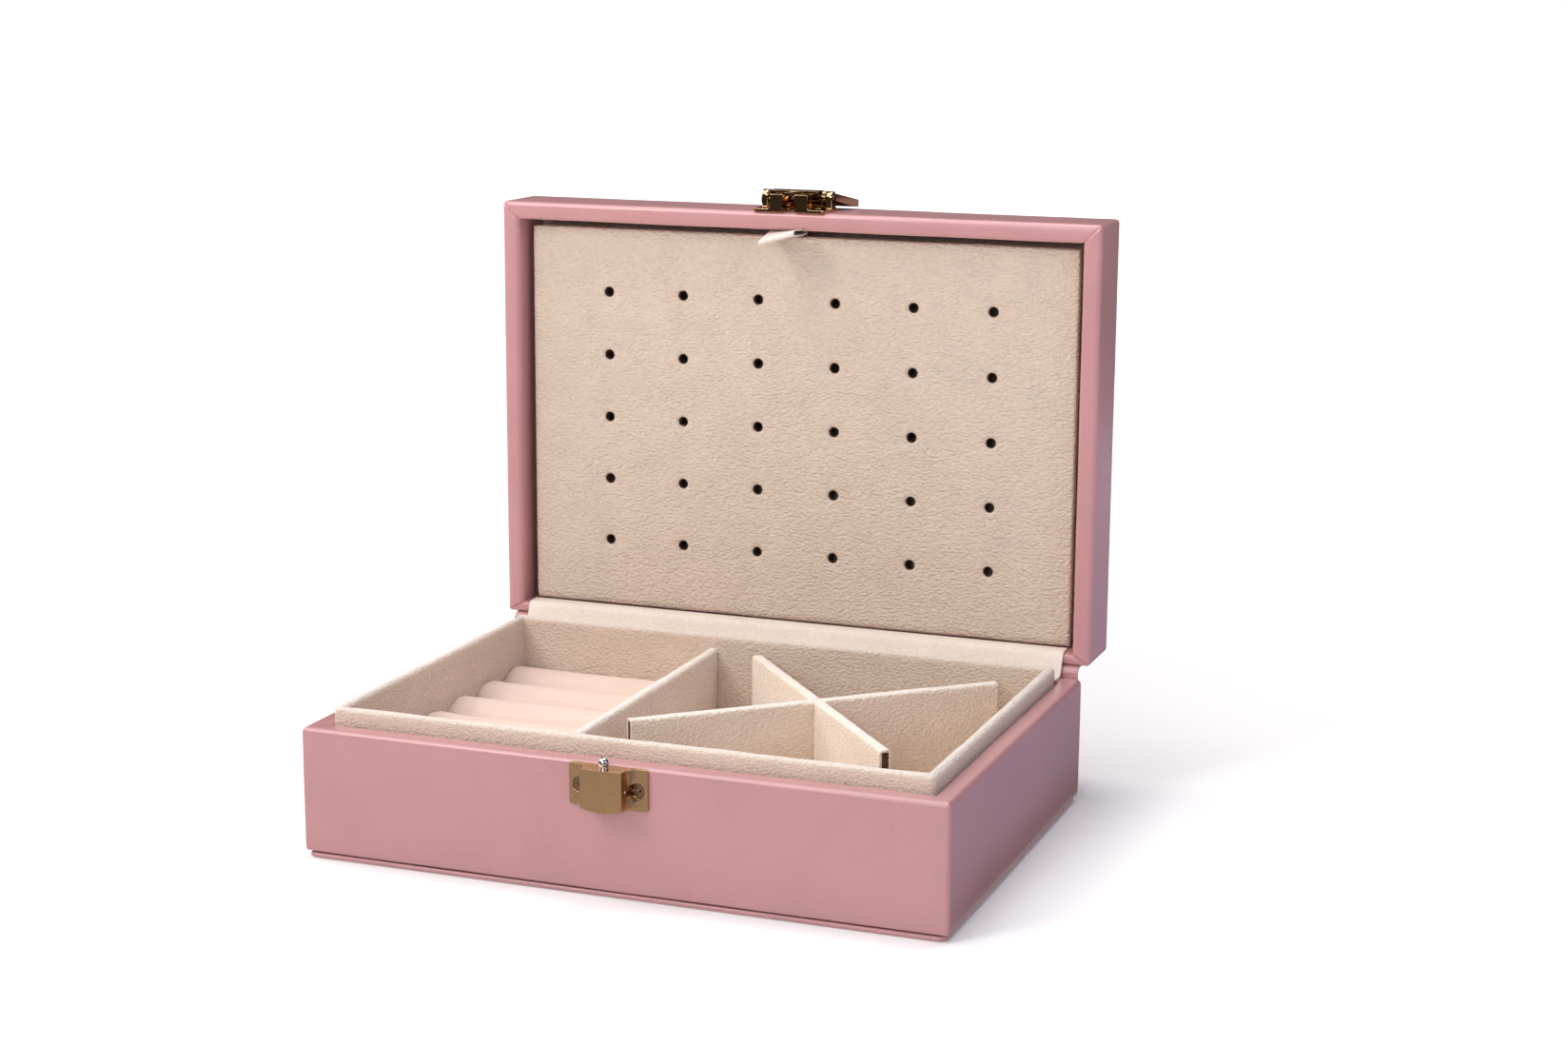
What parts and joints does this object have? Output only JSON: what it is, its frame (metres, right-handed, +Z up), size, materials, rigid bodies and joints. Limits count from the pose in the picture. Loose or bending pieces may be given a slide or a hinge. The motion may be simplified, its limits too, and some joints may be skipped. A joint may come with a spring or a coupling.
{
  "type": "jewelry box",
  "caption": "Rectangular leather-covered jewelry box, lid open: velvet tray with ring rolls and crossed dividers, pierced earring panel in the lid, gold press latch.",
  "frame": {"origin": "centre of the flat underside of the bottom card", "axes": "+Z up, -Y out of the front with the latch, +X to the right seen from the front"},
  "size_m": [0.168, 0.1415, 0.1563],
  "materials": {
    "leather_pink": "smooth fine-grained imitation leather, soft sheen",
    "velvet_beige": "short-pile velvet pressed with a pebbled grain",
    "velvet_rolls": "plain short-pile velvet over foam",
    "card_board": "bare dark grey-brown board",
    "gold_plating": "polished pale gold plating",
    "bright_steel": "polished",
    "satin_ribbon": "satin ribbon"
  },
  "bodies": {
    "base": {"bottom_plate": "leather_pink", "base_floor_board": "card_board", "base_front_board": "card_board", "base_rear_board": "card_board", "base_left_board": "card_board", "base_right_board": "card_board", "base_leather_wrap": "leather_pink", "liner_front_wall": "velvet_beige", "liner_rear_wall": "velvet_beige", "liner_left_wall": "velvet_beige", "liner_right_wall": "velvet_beige", "liner_floor_pad": "velvet_beige", "ring_roll_1": "velvet_rolls", "ring_roll_2": "velvet_rolls", "ring_roll_3": "velvet_rolls", "ring_roll_4": "velvet_rolls", "ring_roll_5": "velvet_rolls", "ring_roll_6": "velvet_rolls", "main_divider_board": "card_board", "main_divider_cover": "velvet_beige", "base_latch_plate": "gold_plating", "strike_pin": "bright_steel", "strike_cross_pin": "gold_plating", "base_latch_screw_left": "gold_plating", "base_latch_screw_right": "gold_plating", "hinge_spine_strip": "leather_pink", "hinge_lining_strip": "velvet_beige"},
    "lid": {"lid_top_board": "card_board", "lid_front_board": "card_board", "lid_rear_board": "card_board", "lid_left_board": "card_board", "lid_right_board": "card_board", "lid_leather_wrap": "leather_pink", "lid_lining": "velvet_beige", "necklace_hook_bar": "velvet_beige", "necklace_pocket": "velvet_beige", "lid_latch_plate": "gold_plating", "lid_latch_screw_left": "gold_plating", "lid_latch_screw_right": "gold_plating", "latch_pivot_pin": "bright_steel", "latch_spring": "bright_steel"},
    "lever": {"latch_lever": "gold_plating"},
    "panel": {"earring_panel_board": "card_board", "earring_panel_velvet": "velvet_beige", "pull_tab": "satin_ribbon"},
    "cross_lower": {"cross_board_b_core": "card_board", "cross_board_b_cover": "velvet_beige"},
    "cross_upper": {"cross_board_a_core": "card_board", "cross_board_a_cover": "velvet_beige"}
  },
  "joints": [
    {"name": "lid_hinge", "type": "hinge", "parent": "base", "child": "lid", "pos_m": [0, 0.05945, 0.03395], "axis": [-1, 0, 0], "range_deg": [-90, 0], "deforming": ["hinge_spine_strip", "hinge_lining_strip", "pull_tab"]},
    {"name": "latch_lever_press", "type": "hinge", "parent": "lid", "child": "lever", "pos_m": [0, 0.0668, 0.1545], "axis": [-1, 0, 0], "range_deg": [0, 3], "stiffness_Nm_per_rad": 0.02, "springref_deg": -11.46},
    {"name": "earring_panel_fold", "type": "hinge", "parent": "lid", "child": "panel", "pos_m": [0, 0.0653, 0.0408], "axis": [1, 0, 0], "range_deg": [0, 45]},
    {"name": "cross_divider_lift", "type": "slide", "parent": "base", "child": "cross_lower", "axis": [0, 0, 1], "range_m": [0, 0.0105]},
    {"name": "cross_upper_board_lift", "type": "slide", "parent": "cross_lower", "child": "cross_upper", "axis": [0, 0, 1], "range_m": [0, 0.0147]}
  ]
}
